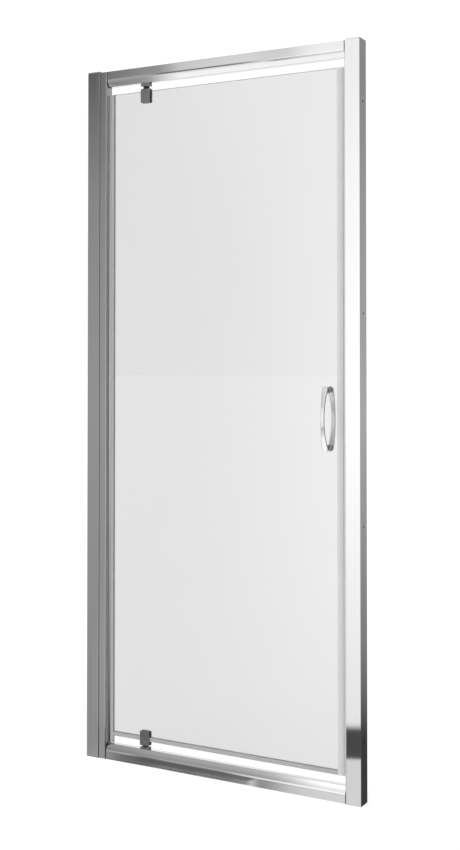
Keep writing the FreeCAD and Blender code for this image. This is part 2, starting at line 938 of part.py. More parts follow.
def make_closing_seal():
    """Channel on the closing edge of the glass with a pocket for the magnet."""
    web, magnet, outer = closing_seal_faces()
    half = seal_half()
    slot_half = glass_half + seal_fit
    bottom = glass_bottom - seal_fit - seal_wall
    z_span = (bottom, glass_top)
    start = glass_right - closing_seal_reach
    body = prism(
        [
            Vector(start, -half, bottom),
            (Vector(outer, -half, bottom), seal_wall),
            (Vector(outer, half, bottom), seal_wall),
            Vector(start, half, bottom),
        ],
        Vector(0, 0, glass_top - bottom),
    )
    slot = box((start - 1, web), (-slot_half, slot_half), z_span)
    pocket_half = magnet_half_depth + magnet_fit
    pocket = box(
        (magnet - magnet_fit, magnet + magnet_width + magnet_fit),
        (-pocket_half, pocket_half),
        z_span,
    )
    return body.cut(slot).cut(pocket)


def make_magnet(start_x):
    return box(
        (start_x, start_x + magnet_width),
        (-magnet_half_depth, magnet_half_depth),
        (glass_bottom, glass_top),
    )


def strike_faces():
    """X of the strike's outer face, its magnet and the front of its base."""
    outer = closing_seal_faces()[2] + strike_gap
    magnet = outer + magnet_wall + magnet_fit
    return outer, magnet, closing_face - strike_base


def make_strike():
    """Base on the closing jamb, pocket for the magnet, and the stop behind the leaf."""
    outer, magnet, base = strike_faces()
    half = seal_half()
    tall = Vector(0, 0, glass_top - glass_bottom)
    pocket_half = magnet_half_depth + magnet_fit
    stop_front = half + strike_stop_gap
    stop_back = stop_front + strike_stop_wall
    stop_tip = closing_face - strike_stop_length
    points = [
        Vector(closing_face, -strike_base_front, glass_bottom),
        Vector(closing_face, strike_base_back, glass_bottom),
        (Vector(stop_tip, strike_base_back, glass_bottom), strike_stop_corner),
        (Vector(stop_tip, stop_front, glass_bottom), strike_stop_corner),
        Vector(base, stop_front, glass_bottom),
        Vector(base, half, glass_bottom),
        (Vector(outer, half, glass_bottom), seal_wall),
        (Vector(outer, -half, glass_bottom), seal_wall),
        Vector(base, -half, glass_bottom),
        Vector(base, -strike_base_front, glass_bottom),
    ]
    strike = prism(points, tall)
    trim = box(
        (stop_tip - 1, base),
        (stop_back, strike_base_back + 1),
        (glass_bottom - 1, glass_top + 1),
    )
    pocket = box(
        (magnet - magnet_fit, magnet + magnet_width + magnet_fit),
        (-pocket_half, pocket_half),
        (glass_bottom, glass_top),
    )
    return strike.cut(trim).cut(pocket)


# ---- Build every sub-part

os.makedirs("parts", exist_ok=True)

hinge_channel = make_wall_channel(hinge_face_reach)
closing_channel = mirrored_x(make_wall_channel(closing_face_reach))
channel_cap = make_channel_cap()
save("wall_channel_left", hinge_channel)
save("wall_channel_right", closing_channel)
save("channel_cap_left", channel_cap)
save("channel_cap_right", mirrored_x(channel_cap))
save("jamb_left", make_jamb(hinge_face_reach))
save("jamb_right", mirrored_x(make_jamb(closing_face_reach)))

lock_places = []
for height in even_heights(lock_screw_end, lock_screw_count):
    lock_places.append((lock_screw_x(hinge_face_reach), height))
    lock_places.append((-lock_screw_x(closing_face_reach), height))
save("jamb_lock_screws", *[make_lock_screw(x, z) for x, z in lock_places])
save("lock_screw_caps", *[make_lock_cap(x, z) for x, z in lock_places])

save("header_rail", make_rail(header_foot, 1))
save("sill_rail", make_rail(sill_foot, -1))
save("rail_end_gaskets", *make_rail_gaskets())
save("corner_screws", *make_corner_screws())

save("pivot_block_top", make_pivot_block(header_foot, 1))
save("pivot_block_bottom", make_pivot_block(sill_foot, -1))
save("pivot_bush_top", make_pivot_bush(header_foot, 1, top_clamp["end"]))
save("pivot_bush_bottom", make_pivot_bush(sill_foot, -1, bottom_clamp["end"]))
save("pivot_block_screws", *make_block_screws())
save("strike_seal", make_strike())
save("strike_magnet", make_magnet(strike_faces()[1]))

save("glass_panel", make_glass())
save("clamp_body_top", make_clamp_body(top_clamp))
save("clamp_body_bottom", make_clamp_body(bottom_clamp))
save("clamp_plate_top", make_clamp_plate(top_clamp))
save("clamp_plate_bottom", make_clamp_plate(bottom_clamp))
save("clamp_screws", make_clamp_screw(top_clamp), make_clamp_screw(bottom_clamp))
save("clamp_gaskets", *(make_clamp_gaskets(top_clamp) + make_clamp_gaskets(bottom_clamp)))
save("clamp_sleeves", make_clamp_sleeve(top_clamp), make_clamp_sleeve(bottom_clamp))
save("pivot_pin_top", make_pivot_pin(top_clamp, header_foot, 1))
save("pivot_pin_bottom", make_pivot_pin(bottom_clamp, sill_foot, -1))

front_bow = make_handle_bow()
front_posts = make_handle_posts()
save("handle_bow_front", front_bow)
save("handle_bow_back", mirrored_y(front_bow))
save("handle_posts", *(front_posts + [mirrored_y(post) for post in front_posts]))
save("handle_studs", *make_handle_studs())
save("handle_washers", *make_handle_washers())
save("handle_sleeves", *make_handle_sleeves())

save("hinge_side_seal", make_hinge_seal())
save("drip_seal", *make_drip_seals())
save("closing_seal", make_closing_seal())
save("closing_magnet", make_magnet(closing_seal_faces()[1]))
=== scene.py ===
# %% [markdown]
# # A framed pivot shower door, dressed for rendering
#
# The construction of the door comes ready made: every profile, clamp, screw and seal is a solid of
# known size. This lesson gives each of them its finish, and remodels the pieces whose soft edges and
# small details only show in a close look. The door stays closed, as it was built.

# %% Load the construction
import json
import math

import bmesh
import bpy
from mathutils import Matrix, Vector


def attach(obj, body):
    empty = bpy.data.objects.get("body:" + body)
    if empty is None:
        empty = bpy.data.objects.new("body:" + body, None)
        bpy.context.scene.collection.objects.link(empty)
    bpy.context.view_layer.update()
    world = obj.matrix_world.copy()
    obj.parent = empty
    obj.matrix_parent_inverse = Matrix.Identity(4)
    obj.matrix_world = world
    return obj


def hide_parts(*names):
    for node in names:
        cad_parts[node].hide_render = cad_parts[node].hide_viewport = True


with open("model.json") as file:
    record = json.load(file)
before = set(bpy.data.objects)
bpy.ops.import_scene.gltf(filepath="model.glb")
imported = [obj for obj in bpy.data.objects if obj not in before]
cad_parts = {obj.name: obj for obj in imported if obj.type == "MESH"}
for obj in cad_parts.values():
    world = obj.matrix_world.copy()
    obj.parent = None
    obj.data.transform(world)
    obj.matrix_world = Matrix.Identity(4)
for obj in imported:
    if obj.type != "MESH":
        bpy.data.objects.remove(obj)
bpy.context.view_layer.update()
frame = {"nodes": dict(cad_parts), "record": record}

nodes = frame["nodes"]

# %% [markdown]
# ## The camera
#
# The photograph was taken from the door's closing side, a little above the middle of its height, with
# a camera held almost level. A level camera keeps the uprights upright, so the view is moved down by
# the lens shift, not by a tilt. Focal length, place and turn come from the door's own eight corners.

# %% Camera
PHOTO_WIDTH = 460
PHOTO_HEIGHT = 850
SENSOR_WIDTH = 36.0
FOCAL_PIXELS = 1252.7
AXIS_PIXEL = (228.7, 332.6)
CAMERA_PLACE = (1.587, -2.808, 1.0755)
CAMERA_TURN = math.radians(29.05)
CAMERA_RISE = math.radians(1.12)

lens = bpy.data.cameras.new("camera")
lens.sensor_width = SENSOR_WIDTH
lens.lens = FOCAL_PIXELS * SENSOR_WIDTH / PHOTO_HEIGHT
lens.shift_x = (PHOTO_WIDTH / 2 - AXIS_PIXEL[0]) / PHOTO_HEIGHT
lens.shift_y = (AXIS_PIXEL[1] - PHOTO_HEIGHT / 2) / PHOTO_HEIGHT
camera = bpy.data.objects.new("camera", lens)
camera.location = CAMERA_PLACE
camera.rotation_euler = (math.pi / 2 + CAMERA_RISE, 0.0, CAMERA_TURN)
bpy.context.scene.collection.objects.link(camera)
bpy.context.scene.camera = camera
print("camera lens", round(lens.lens, 2), "mm, shift", round(lens.shift_x, 4), round(lens.shift_y, 4))

# %% [markdown]
# ## Shader arithmetic
#
# A finish is mostly sums: this much noise added to that much roughness. Written as nodes, a sum is
# hard to read, so a small class wraps a socket and lets Python's own operators add the Math nodes.
# A second class holds one material's tree and adds every other kind of node in one way.

# %% A number that varies over a surface
class Varying:
    """The output of a node, with arithmetic that adds Math nodes."""

    def __init__(self, tree, socket):
        self.tree = tree
        self.socket = socket

    def math(self, operation, first, second):
        return self.tree.add("ShaderNodeMath", {"operation": operation}, {0: first, 1: second})

    def __add__(self, other):
        return self.math("ADD", self, other)

    def __radd__(self, other):
        return self.math("ADD", other, self)

    def __sub__(self, other):
        return self.math("SUBTRACT", self, other)

    def __rsub__(self, other):
        return self.math("SUBTRACT", other, self)

    def __mul__(self, other):
        return self.math("MULTIPLY", self, other)

    def __rmul__(self, other):
        return self.math("MULTIPLY", other, self)


# %% A tree of shader nodes
class Tree:
    """One node tree. add() makes any node: its settings first, then its sockets."""

    def __init__(self, node_tree):
        self.node_tree = node_tree
        self.nodes = node_tree.nodes
        self.nodes.clear()

    def add(self, kind, settings=None, inputs=None, output=0):
        node = self.nodes.new(kind)
        for name, value in (settings or {}).items():
            if name == "stops":
                self.set_stops(node.color_ramp, value)
            else:
                setattr(node, name, value)
        for name, value in (inputs or {}).items():
            if isinstance(value, Varying):
                self.node_tree.links.new(value.socket, node.inputs[name])
            else:
                node.inputs[name].default_value = value
        if not node.outputs:
            return node
        return Varying(self, node.outputs[output])

    def set_stops(self, ramp, stops):
        """Stops are pairs of a place and a level."""
        while len(ramp.elements) < len(stops):
            ramp.elements.new(1.0)
        for element, (place, level) in zip(ramp.elements, stops):
            element.position = place
            element.color = (level, level, level, 1.0)

    def parts(self, vector):
        """The three numbers of a vector."""
        split = self.nodes.new("ShaderNodeSeparateXYZ")
        self.node_tree.links.new(vector.socket, split.inputs[0])
        return [Varying(self, output) for output in split.outputs]

    def rise(self, value, low, high):
        """0 below low, 1 above high, and a soft step between."""
        settings = {"interpolation_type": "SMOOTHSTEP"}
        return self.add("ShaderNodeMapRange", settings, {0: value, 1: low, 2: high})

    def curve(self, value, low, high, stops):
        """A value read off a ramp that spans low to high."""
        place = self.add("ShaderNodeMapRange", {}, {0: value, 1: low, 2: high})
        stops = [((at - low) / (high - low), level) for at, level in stops]
        return self.add("ShaderNodeValToRGB", {"stops": stops}, {0: place})

    def blend(self, amount, first, second):
        """A number that goes from the first to the second as the amount goes from 0 to 1."""
        return first * (1.0 - amount) + second * amount

    def mix(self, factor, first, second):
        """A colour between two colours."""
        inputs = {0: factor, 6: first, 7: second}
        return self.add("ShaderNodeMix", {"data_type": "RGBA"}, inputs, output=2)


# %% [markdown]
# ## Light
#
# Polished metal has hardly any colour of its own: what it shows is what stands around it. Lamps and
# cards could stand there, but each would have to be placed for every face that mirrors it. So the
# light is a soft sky whose brightness depends on direction: across (to the right), deep (away from
# the camera side) and up. Each table below is a list of places and levels along one of the three.
#
# The flat faces of the door mirror what stands in front of it, to the left of the camera, and there
# the light goes from a dim corner to a large white screen.

# %% The dim corner and the screen in front
world = bpy.data.worlds.new("studio")
world.use_nodes = True
bpy.context.scene.world = world
sky = Tree(world.node_tree)
direction = sky.add("ShaderNodeTexCoord", {}, {}, "Generated")
across, deep, up = sky.parts(direction)

corner = sky.curve(up, -1.0, 1.0, [
    (-0.365, 0.40), (-0.314, 0.34), (-0.288, 0.26), (-0.226, 0.33), (-0.046, 0.36), (0.046, 0.34),
    (0.128, 0.30), (0.19, 0.20), (0.226, 0.125), (0.313, 0.16), (0.5, 0.40), (1.0, 0.5),
])
screen = sky.curve(up, -1.0, 1.0, [
    (-0.345, 0.85), (-0.262, 1.0), (-0.149, 1.15), (-0.046, 1.3), (0.128, 1.18), (0.226, 1.08),
    (0.6, 1.0),
])
toward_screen = sky.curve(across, -0.80, -0.35, [
    (-0.80, 0.80), (-0.66, 0.6), (-0.60, 0.0), (-0.5625, 0.0), (-0.557, 0.06), (-0.551, 0.10),
    (-0.5395, 0.147), (-0.533, 0.19), (-0.520, 0.24), (-0.5135, 0.38), (-0.507, 0.58),
    (-0.50, 0.63), (-0.483, 0.69), (-0.459, 0.74), (-0.4445, 0.68), (-0.4315, 0.70),
    (-0.418, 0.93), (-0.4075, 1.0),
])
to_the_right = 1.0 - 0.9 * sky.rise(across, -0.05, 0.35)
wall = sky.blend(toward_screen, corner, screen) * to_the_right
left_of_screen = sky.rise(across, -0.531, -0.515) * (1.0 - sky.rise(across, -0.470, -0.440))
wall = wall * (1.0 - 0.7 * left_of_screen * (1.0 - sky.rise(up, 0.14, 0.19)))
print("sky of", len(world.node_tree.nodes), "nodes so far")

# %% [markdown]
# The noses of the rails lean back, so the sill's nose mirrors the ceiling and the header's nose the
# floor. Both get brighter to the right, as the faces below them do.

# %% The ceiling
ceiling_level = sky.curve(across, -0.85, -0.38, [
    (-0.85, 0.9), (-0.68, 0.9), (-0.60, 0.36), (-0.56, 0.36), (-0.540, 0.39), (-0.507, 0.49),
    (-0.467, 0.50), (-0.447, 0.54), (-0.434, 0.61), (-0.4205, 0.84), (-0.407, 1.18), (-0.397, 1.35),
])
ceiling_height = sky.curve(up, 0.0, 1.0, [
    (0.30, 0.75), (0.45, 0.75), (0.62, 0.78), (0.75, 0.9), (0.85, 1.0), (0.95, 1.12), (1.0, 1.2),
])
ceiling = ceiling_level * ceiling_height * to_the_right
wall = sky.blend(sky.rise(up, 0.25, 0.28), wall, ceiling)
print("sky of", len(world.node_tree.nodes), "nodes so far")

# %% [markdown]
# A dark band lies where the floor begins. The upright faces show it near their feet, and the face of
# the sill lies in it almost from end to end.

# %% The lit floor and the dark band
ground = sky.curve(across, -0.60, -0.40, [
    (-0.60, 0.28), (-0.551, 0.29), (-0.5395, 0.33), (-0.533, 0.36), (-0.5265, 0.44),
    (-0.520, 0.72), (-0.5135, 0.92), (-0.507, 1.13), (-0.40, 1.12),
])
ground = ground * (1.0 - 0.6 * sky.rise(across, -0.3, 0.6))
skirting = sky.curve(across, -0.60, -0.38, [
    (-0.53, 0.40), (-0.515, 0.90), (-0.448, 0.90), (-0.440, 0.33), (-0.4346, 0.36),
    (-0.421, 0.63), (-0.4075, 0.76), (-0.39, 0.80),
])
skirting = skirting * (1.0 - 0.45 * sky.rise(across, -0.05, 0.35))
ground = sky.blend(sky.rise(up, -0.55, -0.40), ground, skirting)
front = sky.blend(sky.rise(up, -0.306, -0.298), ground, wall)

band_depth = sky.curve(across, -0.60, -0.38, [
    (-0.5264, 0.3069), (-0.507, 0.3103), (-0.4877, 0.3147), (-0.4613, 0.3194), (-0.448, 0.3212),
    (-0.438, 0.308), (-0.40, 0.3024),
])
band_level = sky.curve(across, -0.60, -0.38, [
    (-0.540, 0.23), (-0.5265, 0.17), (-0.520, 0.125), (-0.507, 0.12), (-0.462, 0.15),
    (-0.448, 0.19), (-0.425, 0.12), (-0.41, 0.075),
])
band_bottom = sky.rise(up + band_depth, -0.001, 0.001)
band_top = 1.0 - sky.rise(up, -0.2835, -0.2775)
band = band_top * band_bottom * sky.rise(across, -0.55, -0.53)
front = sky.blend(band, front, band_level)
print("sky of", len(world.node_tree.nodes), "nodes so far")

# %% [markdown]
# Behind the door it is bright, except for a dark slot far to the right, which gives the rounded
# chrome its dark right edges. The camera itself sees only white.

# %% Behind the door, and all of it together
SEEN_WHITE = 1.04

back = sky.curve(across, -1.0, 1.0, [
    (-1.0, 0.60), (-0.85, 0.65), (-0.7, 0.90), (-0.2, 1.0), (0.2, 0.80), (0.3, 0.60), (0.40, 0.46),
    (0.46, 0.46), (0.52, 0.62), (0.57, 0.62), (0.60, 0.10), (0.64, 0.10), (0.68, 0.55),
    (0.74, 0.70), (0.86, 0.30), (1.0, 0.05),
])
back_height = sky.curve(up, -1.0, 1.0, [
    (-0.288, 0.10), (-0.262, 0.30), (-0.226, 0.48), (-0.149, 0.70), (-0.046, 1.0), (0.046, 0.88),
    (0.128, 0.78), (0.226, 0.60), (0.5, 0.9),
])
on_the_right = sky.rise(across, 0.15, 0.30) * (1.0 - sky.rise(across, 0.60, 0.66))
back = back * (1.0 - on_the_right * (1.0 - back_height))
back = back * (1.0 - 0.8 * sky.rise(up, 0.40, 0.50))
level = sky.blend(sky.rise(deep, -0.1, 0.1), front, back)

seen = sky.add("ShaderNodeLightPath", {}, {}, "Is Camera Ray")
strength = sky.blend(seen, level, SEEN_WHITE)
white_light = {"Color": (1.0, 1.0, 1.0, 1.0), "Strength": strength}
background = sky.add("ShaderNodeBackground", {}, white_light)
sky.add("ShaderNodeOutputWorld", {}, {"Surface": background})
print("sky of", len(world.node_tree.nodes), "nodes")

# %% [markdown]
# A wide sun, which leaves hardly a shadow, keeps the floor white as far as the horizon. It doesn't
# show in reflections, and neither does the floor, so both leave the metal to the sky.

# %% Lamp and floor
SUN_ENERGY = 1.2
SUN_WIDTH = math.radians(150.0)
SUN_TILT = (math.radians(25.0), 0.0, math.radians(20.0))
FLOOR_REACH = 60.0
FLOOR_GREY = (0.35, 0.35, 0.35, 1.0)
FLOOR_GLOW = 0.80

lamp = bpy.data.lights.new("overhead", "SUN")
lamp.energy = SUN_ENERGY
lamp.angle = SUN_WIDTH
sun = bpy.data.objects.new("overhead", lamp)
sun.rotation_euler = SUN_TILT
sun.visible_glossy = False
bpy.context.scene.collection.objects.link(sun)


def mesh_object(name, shape):
    """A scene object from a bmesh."""
    mesh = bpy.data.meshes.new(name)
    shape.to_mesh(mesh)
    shape.free()
    made = bpy.data.objects.new(name, mesh)
    bpy.context.scene.collection.objects.link(made)
    return made


slab = bmesh.new()
bmesh.ops.create_grid(slab, x_segments=1, y_segments=1, size=FLOOR_REACH)
floor = mesh_object("floor", slab)
floor.visible_glossy = False
floor_material = bpy.data.materials.new("floor")
floor_material.use_nodes = True
floor_tree = Tree(floor_material.node_tree)
floor_shader = floor_tree.add("ShaderNodeBsdfPrincipled", {}, {
    "Base Color": FLOOR_GREY, "Roughness": 0.9, "Specular IOR Level": 0.0,
    "Emission Color": (1.0, 1.0, 1.0, 1.0), "Emission Strength": FLOOR_GLOW,
})
floor_tree.add("ShaderNodeOutputMaterial", {}, {"Surface": floor_shader})
floor.data.materials.append(floor_material)
bpy.context.scene.view_settings.view_transform = "Standard"
print("sun", lamp.energy, "over a floor", 2 * FLOOR_REACH, "m wide")

# %% [markdown]
# ## Finishes
#
# Every finish starts from the same base: one Principled shader, with its constants on its own
# sockets, and a handful of noises in metres that change colour, roughness and normal.

# %% The base of every finish
class Finish(Tree):
    """A material with one Principled shader."""

    def __init__(self, name, **constants):
        self.material = bpy.data.materials.new(name)
        self.material.use_nodes = True
        super().__init__(self.material.node_tree)
        self.place = self.add("ShaderNodeTexCoord", {}, {}, "Object")
        self.constants = {key.replace("_", " "): value for key, value in constants.items()}

    def noise(self, size, stretch=(1.0, 1.0, 1.0), detail=2.0):
        """Noise whose features are size metres across, divided by the stretch along each axis."""
        place = self.add("ShaderNodeMapping", {}, {"Vector": self.place, "Scale": stretch})
        inputs = {"Vector": place, "Scale": 1.0 / size, "Detail": detail}
        return self.add("ShaderNodeTexNoise", {}, inputs)

    def bump(self, height, depth):
        """A normal from a height that runs from 0 to 1, depth metres deep."""
        return self.add("ShaderNodeBump", {}, {"Height": height, "Distance": depth})

    def close(self, **varying):
        """Add the shader, with its constants and the sockets that vary, and give the material."""
        inputs = dict(self.constants)
        inputs.update({key.replace("_", " "): value for key, value in varying.items()})
        shader = self.add("ShaderNodeBsdfPrincipled", {}, inputs)
        self.add("ShaderNodeOutputMaterial", {}, {"Surface": shader})
        return self.material


def grey(level, warmth=0.0):
    """A grey with a little yellow in it, or blue if warmth is negative."""
    return (level + warmth, level, level - warmth, 1.0)


# %% [markdown]
# Polished, anodised aluminium mirrors what is around it, a little softly, and it keeps faint lines
# along the direction in which it was drawn through the die. An anisotropic shader would only blur the
# reflection along them, so they are noise stretched a few hundred times, which gives both the lines
# and the slow waves of a drawn face. The uprights and the rails differ only in the axis of the stretch.

# %% Polished aluminium
UPRIGHT = (1.0, 1.0, 0.004)
LEVEL = (0.004, 1.0, 1.0)


def polished_aluminium(name, stretch):
    finish = Finish(name, Metallic=1.0)
    lines = finish.noise(0.0012, stretch, 3.0)
    waves = finish.noise(0.009, stretch, 1.0)
    haze = finish.noise(0.12)
    roughness = 0.012 + 0.01 * lines + 0.01 * haze
    colour = finish.mix(waves, grey(0.76), grey(0.83))
    normal = finish.bump(0.25 * lines + waves, 0.000012)
    return finish.close(Base_Color=colour, Roughness=roughness, Normal=normal)


polished_upright = polished_aluminium("polished_upright", UPRIGHT)
polished_rail = polished_aluminium("polished_rail", LEVEL)
print("two kinds of polished aluminium,", len(polished_rail.node_tree.nodes), "nodes each")

# %% [markdown]
# The remaining solid pieces are cast, moulded or turned. They have no direction, so one recipe serves
# them all: blotches of slightly different colour and roughness, and a fine grain in the normal. The
# clamps are chrome over a cast face and look darker than the frame. The handle's bows are a brighter
# chrome. Its turned posts are the same chrome given a much darker grey, which paints shade onto them.
# The gaskets and the pivot bushes are black.

# %% Chrome, steel, plastics and rubber
def cast_finish(name, low, high, roughness, peel, **constants):
    """Greys from low to high, and a grain that is peel metres deep."""
    finish = Finish(name, **constants)
    blotch = finish.noise(0.02)
    grain = finish.noise(0.0015, detail=3.0)
    colour = finish.mix(blotch, grey(low), grey(high))
    rough = roughness + 0.5 * roughness * blotch
    return finish.close(Base_Color=colour, Roughness=rough, Normal=finish.bump(grain, peel))


dark_chrome = cast_finish("dark_chrome", 0.36, 0.44, 0.10, 0.00002, Metallic=1.0)
bright_chrome = cast_finish("bright_chrome", 0.84, 0.90, 0.12, 0.000005, Metallic=1.0)
# The posts' chrome is the bows' chrome in a much darker grey: painted shade.
shaded_post_chrome = cast_finish("shaded_post_chrome", 0.26, 0.32, 0.08, 0.000005, Metallic=1.0)
steel = cast_finish("steel", 0.55, 0.66, 0.25, 0.00001, Metallic=1.0)
cap_plastic = cast_finish("cap_plastic", 0.74, 0.80, 0.12, 0.00001, Metallic=1.0)
rubber = cast_finish("rubber", 0.015, 0.03, 0.55, 0.00003)
nylon = cast_finish("nylon", 0.012, 0.02, 0.4, 0.00002)
magnet = cast_finish("magnet", 0.10, 0.14, 0.6, 0.00003)
clear_plastic = cast_finish("clear_plastic", 0.70, 0.80, 0.15, 0.00001, Alpha=0.6)
print("materials so far:", len(bpy.data.materials))

# %% [markdown]
# The seals are clear vinyl that has gone milky from its many small faces. Refraction through such thin
# lips costs many samples and looks like plain grey at this distance, so they let light through by
# Alpha instead, with the lines of the drawing along their length. The seal under the door is given a
# darker grey of the same vinyl, which paints shade onto it. The two seals that meet when the door
# closes carry magnets, and their vinyl is given a paler grey, a painted sheen of reflected light.

# %% Soft clear vinyl of the seals
def seal_finish(name, stretch, low, high):
    finish = Finish(name, Alpha=0.68)
    lines = finish.noise(0.0008, stretch)
    haze = finish.noise(0.05)
    colour = finish.mix(haze, low, high)
    roughness = 0.22 + 0.12 * lines
    return finish.close(Base_Color=colour, Roughness=roughness, Normal=finish.bump(lines, 0.00004))


seal_upright = seal_finish("seal_upright", UPRIGHT, grey(0.58), grey(0.66))
# The level vinyl is a darker grey than the upright one: painted shade on the seal under the door.
seal_level_painted_shade = seal_finish("seal_level_painted_shade", LEVEL, grey(0.50), grey(0.57))
# The magnetic seals' vinyl is made paler than the others: a painted sheen of reflected light.
seal_painted_sheen = seal_finish("seal_painted_sheen", UPRIGHT, grey(0.76, -0.01), grey(0.83, -0.01))
print("three kinds of vinyl,", len(seal_painted_sheen.node_tree.nodes), "nodes each")

# %% [markdown]
# Toughened glass, 6 mm thick, with ground and polished edges. A ray meets two faces of the panel, so
# each face holds back about a fifth of the light. The edge is seen along the sheet, where clear glass
# looks green. A refracting shader would show the same with far more noise, so the edges are found from
# the distance to the rim, and get more colour and less light through them.

# %% Glass
MM = 0.001
GLASS_MIDDLE_X = 5.0
GLASS_MIDDLE_Z = 924.0
GLASS_HALF_WIDTH = 337.0
GLASS_HALF_HEIGHT = 861.5
GLASS_RIM = 0.6


def near_rim(finish, value, middle, half):
    """0 on the face and 1 at the rim, for one coordinate. The sizes are in millimetres."""
    offset = finish.add("ShaderNodeMath", {"operation": "ABSOLUTE"}, {0: value * (1.0 / MM) - middle})
    return finish.rise(offset - half, -GLASS_RIM, 0.0)


def glass_finish():
    """Each face lets most light through and mirrors the rest; the ground edges are greener."""
    finish = Finish("toughened_glass", Metallic=1.0, Roughness=0.22)
    x, y, z = finish.parts(finish.place)
    sides = near_rim(finish, x, GLASS_MIDDLE_X, GLASS_HALF_WIDTH)
    ends = near_rim(finish, z, GLASS_MIDDLE_Z, GLASS_HALF_HEIGHT)
    edge = sides.math("MAXIMUM", sides, ends)
    film = finish.noise(0.15)
    colour = finish.mix(edge, grey(0.57), (0.16, 0.22, 0.19, 1.0))
    alpha = 0.20 + 0.015 * film + 0.6 * edge
    return finish.close(Base_Color=colour, Alpha=alpha)


glass = glass_finish()
print("glass of", len(glass.node_tree.nodes), "nodes")

# %% [markdown]
# ## A finish for every node
#
# The record of the construction names a material slot for each node, so the finishes are given out by
# slot. The rails and the seal under the door run level, so they take the level kind; for the seal that
# kind is also a darker grey, painted shade. The posts take a darker copy of the handle's chrome,
# painted shade, and the two magnetic seals a paler vinyl, painted sheen.

# %% Give every node its finish
by_slot = {
    "polished_frame": polished_upright,
    "cap_plastic": cap_plastic,
    "screw_steel": steel,
    "black_gasket": rubber,
    "chromed_zinc": dark_chrome,
    "black_nylon": nylon,
    "clear_seal": seal_upright,
    "magnet_strip": magnet,
    "clear_glass": glass,
    "clear_plastic": clear_plastic,
    "handle_chrome": bright_chrome,
}
by_node = {
    "header_rail": polished_rail,
    "sill_rail": polished_rail,
    # darker vinyl: painted shade on the seal under the door
    "drip_seal": seal_level_painted_shade,
    # darker copy of the handle chrome: painted shade on the posts
    "handle_posts": shaded_post_chrome,
    # paler vinyl: painted sheen on the two magnetic seals
    "closing_seal": seal_painted_sheen,
    "strike_seal": seal_painted_sheen,
}
records = {part["node"]: part for part in frame["record"]["subparts"]}
for name, part in records.items():
    nodes[name].data.materials.clear()
    nodes[name].data.materials.append(by_node.get(name, by_slot[part["material_slot"]]))
print("finishes given to", len(records), "nodes")

# %% [markdown]
# ## Edges that catch the light
#
# The construction rounds the larger corners of its sections and leaves others without any size. An
# extrusion leaves its die with corners of a few tenths of a millimetre, and each of them shows as a
# thin bright line. The sections could be drawn again, but the construction already holds every hole
# and slot. So each piece is copied, its loose triangles are merged back into whole faces, and only
# the edges that are still sharp are bevelled.

# %% Turn a mesh into a finished piece
SMOOTH_BELOW = math.radians(50.0)
SHARP_ABOVE = math.radians(35.0)
FLAT_BELOW = math.radians(1.0)
MERGE_DISTANCE = 0.002 * MM
SHORTEST_RUN = 4.0 * MM


def finish_piece(name, shape, body, replaced):
    """Shade a mesh, put it on its body, and let it stand in for nodes of the construction."""
    made = mesh_object(name, shape)
    made.data.shade_smooth()
    made.data.set_sharp_from_angle(angle=SMOOTH_BELOW)
    weighted = made.modifiers.new("weighted_normal", "WEIGHTED_NORMAL")
    weighted.keep_sharp = True
    weighted.weight = 100
    first = replaced[0]
    made.data.materials.append(nodes[first].data.materials[0])
    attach(made, body)
    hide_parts(*replaced)
    print(name, len(made.data.polygons), "faces")


def copy_of(name):
    """The mesh of a node, with its loose triangles merged into whole faces."""
    shape = bmesh.new()
    shape.from_mesh(nodes[name].data)
    bmesh.ops.remove_doubles(shape, verts=shape.verts, dist=MERGE_DISTANCE)
    bmesh.ops.dissolve_limit(
        shape, verts=shape.verts, edges=shape.edges, angle_limit=FLAT_BELOW,
        use_dissolve_boundaries=False,
    )
    return shape


def round_edges(shape, chosen, radius, segments):
    """Bevel the outward corners that pass a test."""
    edges = []
    for edge in shape.edges:
        if len(edge.link_faces) != 2 or not chosen(edge):
            continue
        if edge.calc_face_angle_signed(0.0) > SHARP_ABOVE:
            edges.append(edge)
    bmesh.ops.bevel(
        shape, geom=edges, offset=radius * MM, offset_type="OFFSET", segments=segments, profile=0.5,
        affect="EDGES", material=-1, clamp_overlap=True,
    )
    print(len(edges), "edges rounded by", radius, "mm")


def soften(name, shape, body, chosen, radius, segments):
    """Round the edges of a node's copy, which then stands in for it."""
    round_edges(shape, chosen, radius, segments)
    finish_piece("soft_" + name, shape, body, [name])


def upright(edge):
    """A test for the edges that run along Z."""
    run = edge.verts[1].co - edge.verts[0].co
    return abs(run.z) > 0.999 * run.length and run.length > SHORTEST_RUN


# %% [markdown]
# The four uprights are drawn along Z, so only the edges that run along Z came out of the die. The cut
# ends stay sharp, as a saw leaves them.

# %% The extruded uprights
DIE_RADIUS = 0.3
DIE_SEGMENTS = 2
for name in ("wall_channel_left", "wall_channel_right", "jamb_left", "jamb_right"):
    soften(name, copy_of(name), "frame", upright, DIE_RADIUS, DIE_SEGMENTS)

# %% [markdown]
# The two rails carry a nose that leans back by 38 degrees. The construction already rounds all their
# level corners, also the wide break between the nose and the upright face, so nothing is bevelled
# here. But the nose itself is flat and would show one even grey, while the photograph shows a soft
# change from its top to its foot. A new outline could be extruded, but the rail's screw ports and
# slots are already in the copy. So the flat of the nose is cut lengthways, and its cuts are pushed out
# along an arc. The arc is measured over the whole nose, as far as the corner that it would have
# without its break. So the push doesn't fade to nothing where the break begins, and it leaves a faint
# crease there.

# %% The rails
NOSE_BULGE = 0.7
NOSE_CUTS = (0.12, 0.25, 0.38, 0.5, 0.62)
NOSE_BACK = -7.0
RAIL_FRONT = -18.0
NEAR = 0.01 * MM


